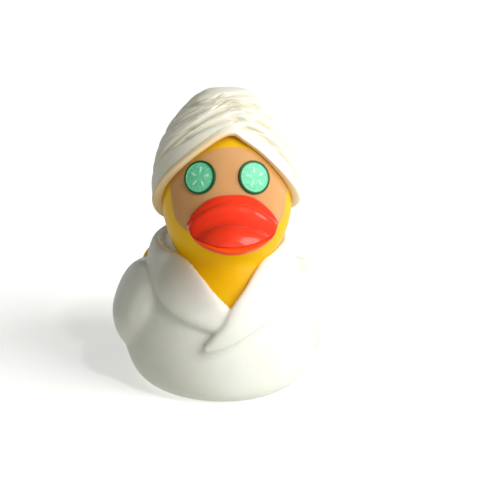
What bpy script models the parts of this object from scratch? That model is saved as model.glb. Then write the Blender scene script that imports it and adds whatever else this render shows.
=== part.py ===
"""Spa duck: a hollow bath duck moulded in one piece, wearing a robe and a towel turban.

The duck faces -Y and stands on Z = 0. Sizes are in millimetres, and MM turns them into metres.
"""

import math

import bmesh
import bpy
from mathutils import Matrix, Vector

MM = 0.001

# Edges that turn by more than this many degrees are drawn crisp
CRISP_ANGLE = 40.0

# Moulded wall, and the round vent in the base
WALL = 2.0
VENT_RADIUS = 1.6
VENT_SIDES = 20

# Body with its flat base and its neck: height, half width, depth of chest, depth of back
BODY = (
    (0.0, 23.0, 26.4, 27.0),
    (1.2, 25.8, 28.8, 29.8),
    (4.0, 28.4, 30.6, 32.2),
    (9.0, 30.5, 31.8, 34.2),
    (16.0, 31.6, 32.2, 35.2),
    (24.0, 31.0, 31.6, 35.0),
    (31.0, 28.6, 30.0, 33.0),
    (37.0, 24.6, 27.4, 28.0),
    (41.0, 21.0, 25.0, 22.0),
    (45.0, 18.4, 22.6, 16.5),
    (50.0, 15.5, 19.0, 8.5),
)
BODY_TOP = 50.0
BODY_RINGS = 18
BODY_SIDES = 48
BODY_CROWDING = 1.5

# Head
HEAD_CENTRE = Vector((1.2, -9.0, 60.5))
HEAD_RADII = Vector((20.2, 20.0, 24.6))
HEAD_AROUND = 40
HEAD_ACROSS = 24

# Wing under its sleeve: depth, distance out, height, half thickness, half height
WING = (
    (-19.0, 22.5, 27.0, 3.4, 5.5),
    (-15.5, 25.0, 25.4, 5.4, 10.0),
    (-8.0, 27.2, 23.4, 7.0, 14.2),
    (1.0, 28.2, 22.6, 7.0, 15.8),
    (11.0, 27.6, 22.8, 6.6, 13.2),
    (21.0, 25.8, 24.0, 5.2, 9.8),
    (29.0, 23.4, 26.2, 3.4, 5.6),
    (33.0, 22.2, 28.4, 1.6, 2.4),
)
WING_FRONT = Vector((21.5, -20.5, 27.5))
WING_TIP = Vector((21.8, 34.6, 29.4))
WING_LEAN = 0.2
WING_DROP = 0.8
WING_SIDES = 20

# Tail: depth, half width, height of the middle, half height
TAIL = (
    (16.0, 25.0, 24.0, 13.0),
    (24.0, 25.6, 27.0, 11.6),
    (30.0, 24.4, 31.0, 9.4),
    (36.0, 16.6, 35.0, 6.2),
    (40.0, 9.0, 39.4, 4.2),
    (42.0, 4.6, 42.6, 2.6),
)
TAIL_ROOT = Vector((0.0, 12.0, 24.0))
TAIL_TIP = Vector((0.0, 42.8, 44.6))
TAIL_SIDES = 26

# Upper and lower halves of the bill: depth, half width, height of the top, height of the underside
UPPER_BILL = (
    (-24.0, 11.6, 66.6, 53.0),
    (-27.2, 12.9, 66.5, 52.8),
    (-29.2, 13.4, 65.6, 52.7),
    (-31.0, 13.5, 64.5, 52.6),
    (-32.6, 13.2, 63.8, 52.6),
    (-34.4, 12.6, 62.0, 52.7),
    (-36.4, 11.7, 60.1, 52.8),
    (-38.6, 10.5, 60.1, 53.0),
    (-40.8, 9.0, 59.7, 53.2),
    (-43.0, 6.7, 58.2, 53.4),
    (-44.5, 4.0, 56.6, 53.9),
)
UPPER_BILL_TIP = Vector((0.1, -45.2, 55.0))
LOWER_BILL = (
    (-24.0, 11.0, 58.0, 51.4),
    (-29.8, 13.0, 57.6, 51.2),
    (-35.2, 12.4, 56.4, 51.0),
    (-39.4, 10.7, 55.6, 51.1),
    (-42.8, 8.2, 54.9, 51.6),
    (-45.2, 5.0, 54.1, 52.4),
)
LOWER_BILL_TIP = Vector((0.1, -46.3, 53.2))
BILL_MIDDLE = 1.5
UPPER_CORNER = 0.42
LOWER_CORNER = 0.95
BILL_ARCH = 1.8
BILL_KEEL = 1.25
BILL_SIDES = 26

# Cucumber slices over the eyes
SLICE_MIDDLE = -1.2
SLICE_SPREAD = 8.2
SLICE_HEIGHT = 70.7
SLICE_RADIUS = 5.1
SLICE_RAISED = 0.5
SLICE_RIM = 0.8
SLICE_RECESS = 0.25
SLICE_SIDES = 28

# Shawl collar: angle round the body from the front, height, half width, lift, lean
NAPE_UNDER = ((174.0, 43.0, 4.4, 1.8, 28.0),)
NAPE_OVER = ((186.0, 43.2, 4.8, 2.1, 27.0),)
COLLAR_NECK = (
    (150.0, 43.0, 4.5, 2.0, 23.0),
    (112.0, 42.3, 4.4, 1.1, 15.0),
    (78.0, 41.3, 4.8, 1.0, 20.0),
    (46.0, 38.8, 6.8, 0.9, 34.0),
    (30.0, 35.3, 7.2, 0.8, 30.0),
)
LAPEL_UNDER = (
    (17.0, 31.8, 6.2, 0.6, 18.0),
    (6.0, 28.6, 4.8, 0.3, 10.0),
    (-4.0, 25.8, 3.6, 0.0, 6.0),
)
LAPEL_OVER = (
    (15.5, 30.9, 6.2, 1.2, 18.0),
    (8.0, 28.0, 5.2, 1.4, 12.0),
    (1.5, 24.6, 3.8, 1.5, 8.0),
    (-6.0, 21.6, 2.6, 1.3, 4.0),
    (-12.5, 19.4, 1.2, 0.8, 2.0),
)
COLLAR_THICKNESS = 1.7
COLLAR_FLATNESS = 0.7
COLLAR_END = 0.5
COLLAR_STEPS = 4
COLLAR_SIDES = 12

# Turban: height from its top, half width, depth of the front, depth of the back, about its axis
TURBAN = (
    (-45.6, 17.4, 17.0, 16.0),
    (-41.6, 19.6, 19.4, 18.6),
    (-36.6, 21.9, 22.4, 21.2),
    (-30.6, 23.2, 23.6, 23.2),
    (-23.6, 22.6, 22.6, 23.6),
    (-17.6, 21.0, 19.8, 22.4),
    (-13.1, 19.0, 17.2, 20.4),
    (-9.1, 16.4, 14.6, 17.4),
    (-5.1, 13.0, 11.6, 13.6),
    (-2.0, 9.8, 8.4, 10.0),
    (0.0, 6.4, 5.0, 6.4),
)
TURBAN_AXIS = Vector((1.2, -4.6, 0.0))
TURBAN_TOP = 93.6
TURBAN_PEAK = Vector((-1.6, -4.6, TURBAN_TOP + 0.8))
TURBAN_SIDES = 76
TURBAN_LEVELS = 21
TURBAN_INSIDE = Vector((1.2, -7.0, 64.0))

# Lower edge of the turban: angle from the front, height
HEM = (
    (-180.0, 51.0),
    (-130.0, 52.0),
    (-100.0, 55.0),
    (-75.0, 61.2),
    (-57.0, 67.8),
    (-39.0, 73.6),
    (-24.0, 77.8),
    (-8.0, 81.2),
    (4.0, 82.0),
    (13.0, 80.2),
    (25.0, 77.0),
    (41.0, 71.2),
    (57.0, 65.0),
    (75.0, 59.0),
    (105.0, 53.8),
    (140.0, 51.4),
    (180.0, 51.0),
)
HEM_ROLL = 3.2
HEM_LIFT = 0.7
HEM_EDGE = 1.1

# Rings inside the hem: how deep they lie, how far they are above its edge
HEM_INSIDE = ((5.0, 0.0), (2.8, 0.2))

# Creases of the wrapped towel: first angle, height there, last angle, height there, arch, depth, breadth
CREASES = (
    (-90.0, 66.0, 32.0, 87.5, 9.5, 1.0, 1.3),
    (-62.0, 76.0, 28.0, 85.4, 4.4, 0.9, 1.1),
    (-100.0, 87.0, 85.0, 87.0, 3.8, 0.9, 1.0),
    (-60.0, 91.0, 80.0, 92.0, 1.0, 0.6, 0.8),
    (8.0, 83.6, 78.0, 60.0, 6.8, 1.0, 1.4),
    (22.0, 86.2, 96.0, 61.0, 6.0, 1.0, 1.5),
    (44.0, 88.0, 120.0, 66.0, 4.4, 0.9, 1.6),
    (-120.0, 74.0, -24.0, 89.4, 2.4, 0.9, 1.3),
    (90.0, 62.0, 225.0, 86.0, 2.6, 1.1, 1.7),
    (124.0, 56.0, 262.0, 79.0, 2.6, 1.1, 1.7),
    (165.0, 53.0, 272.0, 68.0, 2.0, 1.0, 1.6),
)
CREASE_FADE = 0.18

# Radii of the hollows in the turban, bill, tail and each wing
TURBAN_HOLLOW = Vector((19.2, 16.4, 18.6))
BILL_HOLLOW = Vector((9.6, 9.8, 3.6))
TAIL_HOLLOW = Vector((18.0, 9.5, 6.0))
WING_HOLLOW = Vector((7.0, 14.0, 10.0))

# The turban's hollow from its axis, the bill's from the head's middle, the tail's from its root
TURBAN_HOLLOW_BACK = 1.0
BILL_HOLLOW_DROP = 2.9
TAIL_HOLLOW_OUT = Vector((0.0, 10.0, 2.0))
WING_HOLLOW_PLACE = Vector((25.6, 2.0, 22.0))

# Facets of the hollows
HOLLOW_RINGS = 10
HOLLOW_SIDES = 26
HOLLOW_AROUND = 18
HOLLOW_ACROSS = 10


def clear_scene():
    for obj in list(bpy.data.objects):
        bpy.data.objects.remove(obj)


def at(stations, key):
    """The row of a table at this key: a smooth curve through the rows beside it."""
    last = len(stations) - 1
    index = 0
    while index < last - 1 and key > stations[index + 1][0]:
        index += 1
    low = stations[index]
    high = stations[index + 1]
    span = high[0] - low[0]
    u = (key - low[0]) / span
    before = stations[max(index - 1, 0)]
    after = stations[min(index + 2, last)]
    row = []
    for column in range(1, len(low)):
        slope_low = (high[column] - before[column]) / (high[0] - before[0]) * span
        slope_high = (after[column] - low[column]) / (after[0] - low[0]) * span
        row.append(
            (2 * u**3 - 3 * u**2 + 1) * low[column]
            + (u**3 - 2 * u**2 + u) * slope_low
            + (3 * u**2 - 2 * u**3) * high[column]
            + (u**3 - u**2) * slope_high
        )
    return row


def oval(angle, half_width, front, back):
    """A point of a level oval, and its outward direction. The angle is from the front, towards +X."""
    depth = front if math.cos(angle) > 0 else back
    point = Vector((half_width * math.sin(angle), -depth * math.cos(angle), 0.0))
    outward = Vector((math.sin(angle) / half_width, -math.cos(angle) / depth, 0.0))
    return point, outward.normalized()


def angles(sides):
    return [2 * math.pi * side / sides for side in range(sides)]


def loft(name, rings, start, end):
    """A closed solid through rings of points, drawn to a point at each end."""
    mesh = bmesh.new()
    rows = [[mesh.verts.new(point * MM) for point in ring] for ring in rings]
    for row, following in zip(rows, rows[1:]):
        for side in range(len(row)):
            beside = (side + 1) % len(row)
            mesh.faces.new((row[side], row[beside], following[beside], following[side]))
    for row, tip in ((rows[0], start), (rows[-1], end)):
        point = mesh.verts.new(tip * MM)
        for side in range(len(row)):
            mesh.faces.new((row[side], row[(side + 1) % len(row)], point))
    return finished(name, mesh)


def finished(name, mesh):
    """The bmesh as an object, facing out and shaded smooth."""
    bmesh.ops.recalc_face_normals(mesh, faces=mesh.faces)
    data = bpy.data.meshes.new(name)
    mesh.to_mesh(data)
    mesh.free()
    data.shade_smooth()
    data.set_sharp_from_angle(angle=math.radians(CRISP_ANGLE))
    obj = bpy.data.objects.new(name, data)
    bpy.context.collection.objects.link(obj)
    return obj


def ball(name, centre, radii, around, across):
    mesh = bmesh.new()
    bmesh.ops.create_uvsphere(mesh, u_segments=around, v_segments=across, radius=1.0)
    placed = Matrix.Translation(centre * MM) @ Matrix.Diagonal((*(radii * MM), 1.0))
    bmesh.ops.transform(mesh, matrix=placed, verts=mesh.verts)
    return finished(name, mesh)


def body_point(angle, height):
    point, outward = oval(angle, *at(BODY, height))
    return point + Vector((0.0, 0.0, height)), outward


def body(name, inset, count, sides):
    """The body, or its inside where the inset is the wall. Rings are closer near the base."""
    bottom = inset
    top = BODY_TOP - inset
    rings = []
    for ring in range(count):
        height = bottom + (top - bottom) * (ring / (count - 1)) ** BODY_CROWDING
        points = [body_point(angle, height) for angle in angles(sides)]
        rings.append([point - outward * inset for point, outward in points])
    return loft(name, rings, Vector((0.0, 0.0, bottom)), Vector((0.0, 0.0, top)))


def wing(name, side):
    """One folded wing under the robe's sleeve. Its upper half leans in to the shoulder."""
    rings = []
    for depth, out, height, thick, tall in WING:
        ring = []
        for angle in angles(WING_SIDES):
            rise = tall * math.sin(angle)
            rise *= WING_DROP if rise < 0 else 1.0
            x = out + thick * math.cos(angle) - WING_LEAN * max(rise, 0.0)
            ring.append(Vector((side * x, depth, height + rise)))
        rings.append(ring)
    front = Vector((side * WING_FRONT.x, WING_FRONT.y, WING_FRONT.z))
    tip = Vector((side * WING_TIP.x, WING_TIP.y, WING_TIP.z))
    return loft(name, rings, front, tip)


def tail(name):
    rings = []
    for depth, wide, height, tall in TAIL:
        ring = []
        for angle in angles(TAIL_SIDES):
            ring.append(Vector((wide * math.cos(angle), depth, height + tall * math.sin(angle))))
        rings.append(ring)
    return loft(name, rings, TAIL_ROOT, TAIL_TIP)


def bill_half(name, stations, corners, tip):
    """One half of the bill: sections that come to a soft corner, and turn aside towards the tip."""
    root_depth = stations[0][0]
    rings = []
    for depth, wide, top, under in stations:
        along = (depth - root_depth) / (tip.y - root_depth)
        middle = BILL_MIDDLE + (tip.x - BILL_MIDDLE) * along**2
        corner = under + corners * (top - under)
        ring = []
        for angle in angles(BILL_SIDES):
            rise = abs(math.sin(angle))
            height = corner + (top - corner) * rise**BILL_ARCH
            if angle > math.pi:
                height = corner - (corner - under) * rise**BILL_KEEL
            ring.append(Vector((middle + wide * math.cos(angle), depth, height)))
        rings.append(ring)
    root = Vector((BILL_MIDDLE, root_depth + WALL, (stations[0][2] + stations[0][3]) / 2))
    return loft(name, rings, root, tip)


def slice_over_eye(name, side):
    """A cucumber slice that lies on the face, with a raised rim round its flesh."""
    across = (SLICE_MIDDLE + side * SLICE_SPREAD) / HEAD_RADII.x
    up = (SLICE_HEIGHT - HEAD_CENTRE.z) / HEAD_RADII.z
    ahead = -math.sqrt(1 - across**2 - up**2)
    place = HEAD_CENTRE + Vector((across, ahead, up)) * HEAD_RADII
    outward = Vector((across / HEAD_RADII.x, ahead / HEAD_RADII.y, up / HEAD_RADII.z)).normalized()
    mesh = bmesh.new()
    bmesh.ops.create_cone(
        mesh,
        cap_ends=True,
        segments=SLICE_SIDES,
        radius1=SLICE_RADIUS * MM,
        radius2=SLICE_RADIUS * MM,
        depth=2 * SLICE_RAISED * MM,
    )
    flesh = max(mesh.faces, key=lambda face: face.calc_center_median().z)
    bmesh.ops.inset_region(mesh, faces=[flesh], thickness=SLICE_RIM * MM, depth=0.0)
    bmesh.ops.inset_region(mesh, faces=[flesh], thickness=SLICE_RECESS * MM, depth=-SLICE_RECESS * MM)
    turn = outward.to_track_quat("Z", "Y").to_matrix().to_4x4()
    bmesh.ops.transform(mesh, matrix=Matrix.Translation(place * MM) @ turn, verts=mesh.verts)
    return finished(name, mesh)


def smooth_path(stations):
    """Rows between these rows, on a smooth curve that runs through each of them."""
    numbered = [(index, *row) for index, row in enumerate(stations)]
    steps = (len(stations) - 1) * COLLAR_STEPS
    return [at(numbered, step / COLLAR_STEPS) for step in range(steps + 1)]


def collar_half(name, stations, side):
    """One half of the shawl collar: a rounded band from the nape over the shoulder to its lapel."""
    spine = []
    for degrees, height, half_width, lift, lean in smooth_path(stations):
        point, outward = body_point(math.radians(side * degrees), height)
        tilt = math.radians(lean)
        facing = outward * math.cos(tilt) + Vector((0.0, 0.0, math.sin(tilt)))
        spine.append((point + facing * lift, facing, half_width))
    rings = []
    for index, (point, facing, half_width) in enumerate(spine):
        ahead = spine[min(index + 1, len(spine) - 1)][0] - spine[max(index - 1, 0)][0]
        across = facing.cross(ahead).normalized()
        ring = []
        for angle in angles(COLLAR_SIDES):
            wide = half_width * math.copysign(abs(math.cos(angle)) ** COLLAR_FLATNESS, math.cos(angle))
            thick = COLLAR_THICKNESS * math.sin(angle)
            ring.append(point + across * wide + facing * thick)
        rings.append(ring)
    first = spine[0][0] + (spine[0][0] - spine[1][0]) * COLLAR_END
    last = spine[-1][0] + (spine[-1][0] - spine[-2][0]) * COLLAR_END
    return loft(name, rings, first, last)


def crease(degrees, height):
    """How far the creases sink the towel here, in mm."""
    sunk = 0.0
    for first, low, final, high, arch, depth, breadth in CREASES:
        for turned in (degrees, degrees + 360.0):
            along = (turned - first) / (final - first)
            if not 0.0 < along < 1.0:
                continue
            line = low + (high - low) * along + 4 * arch * along * (1 - along)
            fade = min(1.0, along / CREASE_FADE, (1 - along) / CREASE_FADE)
            sunk += depth * fade * math.exp(-(((height - line) / breadth) ** 2))
    return sunk


def turban_point(angle, height, swell):
    half_width, front, back = at(TURBAN, height - TURBAN_TOP)
    point, outward = oval(angle, half_width, front, back)
    return TURBAN_AXIS + Vector((0.0, 0.0, height)) + point + outward * swell


def hem_roll(above):
    """How far the rolled hem stands out at this height above its edge. The edge itself turns in."""
    swelling = HEM_LIFT * math.sin(math.pi * min(above / HEM_ROLL, 1.0))
    return swelling - (1 - min(above / HEM_EDGE, 1.0)) ** 2


def turban(name):
    """The wrapped towel, from its rolled hem up to the top. The hem is lowest at the nape."""
    hems = []
    for angle in angles(TURBAN_SIDES):
        degrees = (math.degrees(angle) + 180.0) % 360.0 - 180.0
        hems.append((angle, degrees, at(HEM, degrees)[0]))
    rings = []
    for deep, above in HEM_INSIDE:
        rings.append([turban_point(angle, hem + above, -deep) for angle, degrees, hem in hems])
    for level in range(TURBAN_LEVELS):
        ring = []
        for angle, degrees, hem in hems:
            above = (TURBAN_TOP - hem) * level / (TURBAN_LEVELS - 1)
            swell = hem_roll(above) - crease(degrees, hem + above)
            ring.append(turban_point(angle, hem + above, swell))
        rings.append(ring)
    return loft(name, rings, TURBAN_INSIDE, TURBAN_PEAK)


def hollows():
    """The hollows, each placed by the form that it opens. They meet, so that all the air is one."""
    head = HEAD_RADII - Vector((WALL, WALL, WALL))
    turban_place = Vector((TURBAN_AXIS.x, TURBAN_AXIS.y, TURBAN_TOP))
    turban_place += Vector((0.0, TURBAN_HOLLOW_BACK, -WALL - TURBAN_HOLLOW.z))
    bill_place = Vector((BILL_MIDDLE, HEAD_CENTRE.y - HEAD_RADII.y, HEAD_CENTRE.z - BILL_HOLLOW_DROP))
    right_place = Vector((-WING_HOLLOW_PLACE.x, WING_HOLLOW_PLACE.y, WING_HOLLOW_PLACE.z))
    balls = (
        ("head_hollow", HEAD_CENTRE, head),
        ("turban_hollow", turban_place, TURBAN_HOLLOW),
        ("bill_hollow", bill_place, BILL_HOLLOW),
        ("tail_hollow", TAIL_ROOT + TAIL_HOLLOW_OUT, TAIL_HOLLOW),
        ("right_wing_hollow", right_place, WING_HOLLOW),
        ("left_wing_hollow", WING_HOLLOW_PLACE, WING_HOLLOW),
    )
    made = [ball(name, place, radii, HOLLOW_AROUND, HOLLOW_ACROSS) for name, place, radii in balls]
    return [body("body_hollow", WALL, HOLLOW_RINGS, HOLLOW_SIDES), *made]


def vent(name):
    """The vent's cutter, which reaches past both faces of the base's wall."""
    mesh = bmesh.new()
    bmesh.ops.create_cone(
        mesh,
        cap_ends=True,
        segments=VENT_SIDES,
        radius1=VENT_RADIUS * MM,
        radius2=VENT_RADIUS * MM,
        depth=4 * WALL * MM,
    )
    return finished(name, mesh)


def combine(base, others, operation):
    """Joins the others to the base, or cuts them from it. They are its children, so they move with it."""
    for other in others:
        other.parent = base
        modifier = base.modifiers.new(other.name, "BOOLEAN")
        modifier.operation = operation
        modifier.object = other
        modifier.solver = "EXACT"
        other.hide_render = True
        other.display_type = "WIRE"


def vinyl():
    """Soft vinyl in the robe's white, the colour that covers most of the duck."""
    material = bpy.data.materials.new("white_vinyl")
    material.use_nodes = True
    shader = material.node_tree.nodes["Principled BSDF"]
    shader.inputs["Base Color"].default_value = (0.85, 0.85, 0.82, 1.0)
    shader.inputs["Roughness"].default_value = 0.45
    shader.inputs["Metallic"].default_value = 0.0
    return material


def duck():
    """The whole moulding: its outer forms joined, hollowed out, and centred over the origin."""
    shell = body("duck", 0.0, BODY_RINGS, BODY_SIDES)
    combine(
        shell,
        [
            tail("tail_form"),
            wing("right_wing_form", -1),
            wing("left_wing_form", 1),
            ball("head_form", HEAD_CENTRE, HEAD_RADII, HEAD_AROUND, HEAD_ACROSS),
            bill_half("lower_bill_form", LOWER_BILL, LOWER_CORNER, LOWER_BILL_TIP),
            bill_half("upper_bill_form", UPPER_BILL, UPPER_CORNER, UPPER_BILL_TIP),
            slice_over_eye("right_slice_form", -1),
            slice_over_eye("left_slice_form", 1),
            collar_half("under_lapel_form", NAPE_UNDER + COLLAR_NECK + LAPEL_UNDER, -1),
            collar_half("over_lapel_form", NAPE_OVER + COLLAR_NECK + LAPEL_OVER, 1),
            turban("turban_form"),
        ],
        "UNION",
    )
    combine(shell, [*hollows(), vent("vent_form")], "DIFFERENCE")
    shell.data.materials.append(vinyl())
    shell.location.y = -(LOWER_BILL_TIP.y + TAIL_TIP.y) / 2 * MM


clear_scene()
duck()
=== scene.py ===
"""The bath duck as it is sold: yellow vinyl with a painted face, bill, cucumber slices, robe and towel.

Forms are made in millimetres, in the moulder's own frame, and placed in the part's frame in metres.
"""

import math

import bpy
from mathutils import Matrix, Vector, noise
from mathutils.bvhtree import BVHTree


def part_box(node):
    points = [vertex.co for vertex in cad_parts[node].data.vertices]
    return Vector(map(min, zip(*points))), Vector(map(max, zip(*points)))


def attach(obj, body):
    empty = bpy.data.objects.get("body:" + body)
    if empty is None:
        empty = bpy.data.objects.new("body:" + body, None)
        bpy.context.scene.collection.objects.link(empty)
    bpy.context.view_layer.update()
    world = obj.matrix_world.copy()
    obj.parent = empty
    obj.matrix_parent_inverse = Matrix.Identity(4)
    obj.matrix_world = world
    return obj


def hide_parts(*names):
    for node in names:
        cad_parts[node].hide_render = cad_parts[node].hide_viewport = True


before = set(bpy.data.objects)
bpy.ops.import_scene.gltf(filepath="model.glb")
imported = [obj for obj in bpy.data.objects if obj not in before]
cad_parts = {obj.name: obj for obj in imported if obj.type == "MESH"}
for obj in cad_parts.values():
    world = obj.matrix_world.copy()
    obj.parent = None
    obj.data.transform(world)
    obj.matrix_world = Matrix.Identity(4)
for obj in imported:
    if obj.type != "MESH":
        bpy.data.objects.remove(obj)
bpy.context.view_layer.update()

MM = 0.001

# Body under the robe: height, half width, depth of chest, depth of back
BODY = (
    (0.0, 23.0, 26.4, 27.0),
    (1.2, 25.8, 28.8, 29.8),
    (4.0, 28.4, 30.6, 32.2),
    (9.0, 30.5, 31.8, 34.2),
    (16.0, 31.6, 32.2, 35.2),
    (24.0, 31.0, 31.6, 35.0),
    (31.0, 28.6, 30.0, 33.0),
    (37.0, 24.6, 27.4, 28.0),
    (41.0, 21.0, 25.0, 22.0),
    (45.0, 18.4, 22.6, 16.5),
    (50.0, 15.5, 19.0, 8.5),
)

# Height of the body's top, how much closer its rings lie towards the foot, and the vent in its base
BODY_TOP = 50.0
BODY_CROWDED = 1.4
VENT_RADIUS = 1.6
VENT_DEPTH = 5.0

# Chest: its foot, how far it stands out of the body's own form in the collar's opening, how far it is
# sunk elsewhere, half the height over which it sinks at the collar, and the angles from the front
# over which it ends
NECK_FOOT = 22.0
CHEST_PROUD = 0.25
CHEST_SUNK = -1.6
CHEST_EDGE = 1.0
CHEST_SIDES = (46.0, 54.0)

# Head: its ball, the share of the ball's half turn that each pole spans, and the curve that the
# slices are bent to
HEAD_CENTRE = Vector((1.2, -9.0, 60.5))
HEAD_RADII = Vector((20.2, 20.0, 24.6))
HEAD_POLE = 0.02
HEAD_CURVE = 21.0

# Wing under its sleeve: depth, distance out, height, half thickness, half height
WING = (
    (-19.0, 22.5, 27.0, 3.4, 5.5),
    (-15.5, 25.0, 25.4, 5.4, 10.0),
    (-8.0, 27.2, 23.4, 7.0, 14.2),
    (1.0, 28.2, 22.6, 7.0, 15.8),
    (11.0, 27.6, 22.8, 6.6, 13.2),
    (21.0, 25.8, 24.0, 5.2, 9.8),
    (29.0, 23.4, 26.2, 3.4, 5.6),
    (33.0, 22.2, 28.4, 1.6, 2.4),
)

# The wing's front and rear ends, how far its upper half leans in, and how far its lower half hangs at the
# duck's right and at its left
WING_FRONT = Vector((21.5, -20.5, 27.5))
WING_TIP = Vector((21.8, 34.6, 29.4))
WING_LEAN = 0.2
WING_DROP = {-1: 0.8, 1: 1.02}

# Tail: depth, half width, height of the middle, half height
TAIL = (
    (16.0, 25.0, 24.0, 13.0),
    (24.0, 25.6, 27.0, 11.6),
    (30.0, 24.4, 31.0, 9.4),
    (36.0, 17.0, 35.0, 6.2),
    (40.0, 10.2, 39.4, 4.2),
    (42.0, 5.4, 42.6, 2.6),
)
TAIL_ROOT = Vector((0.0, 12.0, 24.0))
TAIL_TIP = Vector((0.0, 42.8, 44.6))

# Upper and lower halves of the bill: depth, half width, height of the top, height of the underside
UPPER_BILL = (
    (-24.0, 11.6, 66.6, 53.0),
    (-27.2, 12.9, 66.5, 52.8),
    (-29.2, 13.4, 65.6, 52.7),
    (-31.0, 13.5, 64.5, 52.6),
    (-32.6, 13.2, 63.8, 52.6),
    (-34.4, 12.6, 62.1, 52.7),
    (-36.4, 11.7, 60.5, 52.8),
    (-38.6, 10.5, 59.8, 53.0),
    (-40.8, 9.0, 59.4, 53.2),
    (-43.0, 6.7, 58.1, 53.4),
    (-44.5, 4.0, 56.6, 53.9),
)
UPPER_BILL_ROOT = Vector((1.5, -22.0, 59.9))
UPPER_BILL_TIP = Vector((0.1, -45.2, 55.0))
LOWER_BILL = (
    (-24.0, 11.0, 58.0, 51.4),
    (-29.8, 13.0, 57.6, 51.2),
    (-35.2, 12.4, 56.4, 51.0),
    (-39.4, 10.7, 55.6, 51.1),
    (-42.8, 8.2, 54.9, 51.6),
    (-45.2, 5.0, 54.1, 52.4),
)
LOWER_BILL_ROOT = Vector((1.5, -22.0, 54.7))
LOWER_BILL_TIP = Vector((0.1, -46.3, 53.2))

# Middle of the bill's root, how high the corner of the mouth lies in each half, and how narrow the crest of
# the top and the keel of the underside are
BILL_MIDDLE = 1.5
UPPER_CORNER = 0.42
LOWER_CORNER = 0.95
BILL_ARCH = 1.8
BILL_KEEL = 1.25

# Waves across the top of the bill: depth, breadth, rise at the middle, rise at the sides. They fade
# out at the sides of the mouth
BILL_FADE = 2.0
BILL_WAVES = (
    (-28.2, 1.8, 0.0, 0.4),
    (-30.8, 1.3, -0.25, -0.7),
    (-32.6, 1.25, 0.5, 0.5),
    (-37.4, 1.8, -0.3, -0.5),
    (-41.0, 2.2, 0.25, 0.2),
)

# Cucumber slices over the eyes: the point between them, how far each is from it, their height and radius,
# half their thickness, the breadth of the rim, how deep the flesh is sunk, and how many rings it has
SLICE_MIDDLE = -1.2
SLICE_SPREAD = 8.2
SLICE_HEIGHT = 70.7
SLICE_RADIUS = 5.1
SLICE_RAISED = 0.5
SLICE_RIM = 0.6
SLICE_RECESS = 0.25
FLESH_RINGS = 4

# A slice's top has normals that rise more than this, edges sharper than the first angle are bevelled,
# and those under the second are shaded smooth
UPWARDS = 0.9
SLICE_BEVEL = 0.18
SLICE_CORNER = math.radians(30)
SLICE_SMOOTH = math.radians(50)

# Tan mask: middle, half width at its foot, how fast it widens upwards, heights of its foot and top,
# curve of the brow, radius of its lower corners, half the breadth of its soft edge
FACE_MIDDLE = 1.1
FACE_WIDTH = 16.2
FACE_FLARE = 0.12
FACE_FOOT = 53.6
FACE_TOP = 79.2
FACE_BROW = 0.035
FACE_CORNER = 5.5
FACE_SOFT = 0.9

# Seeds on a slice: how many, how far out, how much narrower at the inner end, radii
SEEDS = 5
SEED_OUT = 2.15
SEED_TAPER = 0.35
SEED_RADII = Vector((0.4, 1.0, 0.12))

# Shawl collar: angle round the body from the front, height, half width, lift, lean
NAPE_UNDER = ((174.0, 43.0, 4.4, 1.8, 28.0),)
NAPE_OVER = ((186.0, 43.2, 4.8, 2.1, 27.0),)
COLLAR_NECK = (
    (150.0, 43.0, 4.5, 2.0, 23.0),
    (112.0, 42.3, 4.4, 1.1, 15.0),
    (78.0, 41.3, 4.8, 1.0, 20.0),
    (46.0, 38.8, 6.8, 0.9, 34.0),
    (30.0, 35.3, 7.2, 0.8, 30.0),
)
LAPEL_UNDER = (
    (17.0, 31.8, 6.2, 0.6, 18.0),
    (6.0, 28.6, 4.8, 0.3, 10.0),
    (-4.0, 25.8, 3.6, 0.0, 6.0),
)
LAPEL_OVER = (
    (15.5, 30.9, 6.2, 1.2, 18.0),
    (8.0, 28.0, 5.2, 1.4, 12.0),
    (1.5, 24.6, 3.8, 1.5, 8.0),
    (-6.0, 21.6, 2.6, 1.3, 4.0),
    (-12.5, 19.4, 1.2, 0.8, 2.0),
)

# The collar's halves, by the side of the duck that each runs down
COLLAR = {
    -1: NAPE_UNDER + COLLAR_NECK + LAPEL_UNDER,
    1: NAPE_OVER + COLLAR_NECK + LAPEL_OVER,
}

# Half its thickness, how blunt its edges are, how far it runs on past its end stations as a share of
# their spacing, and how many rings it has
COLLAR_THICKNESS = 1.7
COLLAR_FLATNESS = 0.7
COLLAR_END = 0.125
COLLAR_RINGS = 160

# Turban: height from its top, half width, depth of the front, depth of the back, about its axis
TURBAN = (
    (-45.6, 17.4, 17.0, 16.0),
    (-41.6, 19.6, 19.4, 18.6),
    (-36.6, 21.9, 22.4, 21.2),
    (-30.6, 23.2, 23.6, 23.2),
    (-23.6, 22.6, 22.6, 23.6),
    (-17.6, 21.0, 19.8, 22.4),
    (-13.1, 19.0, 17.2, 20.4),
    (-9.1, 16.4, 14.6, 17.4),
    (-5.1, 13.0, 11.6, 13.6),
    (-2.0, 9.8, 8.4, 10.0),
    (0.0, 6.4, 5.0, 6.4),
)

# Where the turban stands, the height of its top, how far its peak rises over that, the place inside
# where its skin closes, and how much closer its rings lie towards the hem
TURBAN_AXIS = Vector((1.2, -4.6, 0.0))
TURBAN_TOP = 93.6
TURBAN_CROWN = 0.8
TURBAN_PEAK = Vector((-1.6, -4.6, TURBAN_TOP + TURBAN_CROWN))
TURBAN_INSIDE = Vector((1.2, -7.0, 64.0))
TURBAN_CROWDED = 1.15

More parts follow.
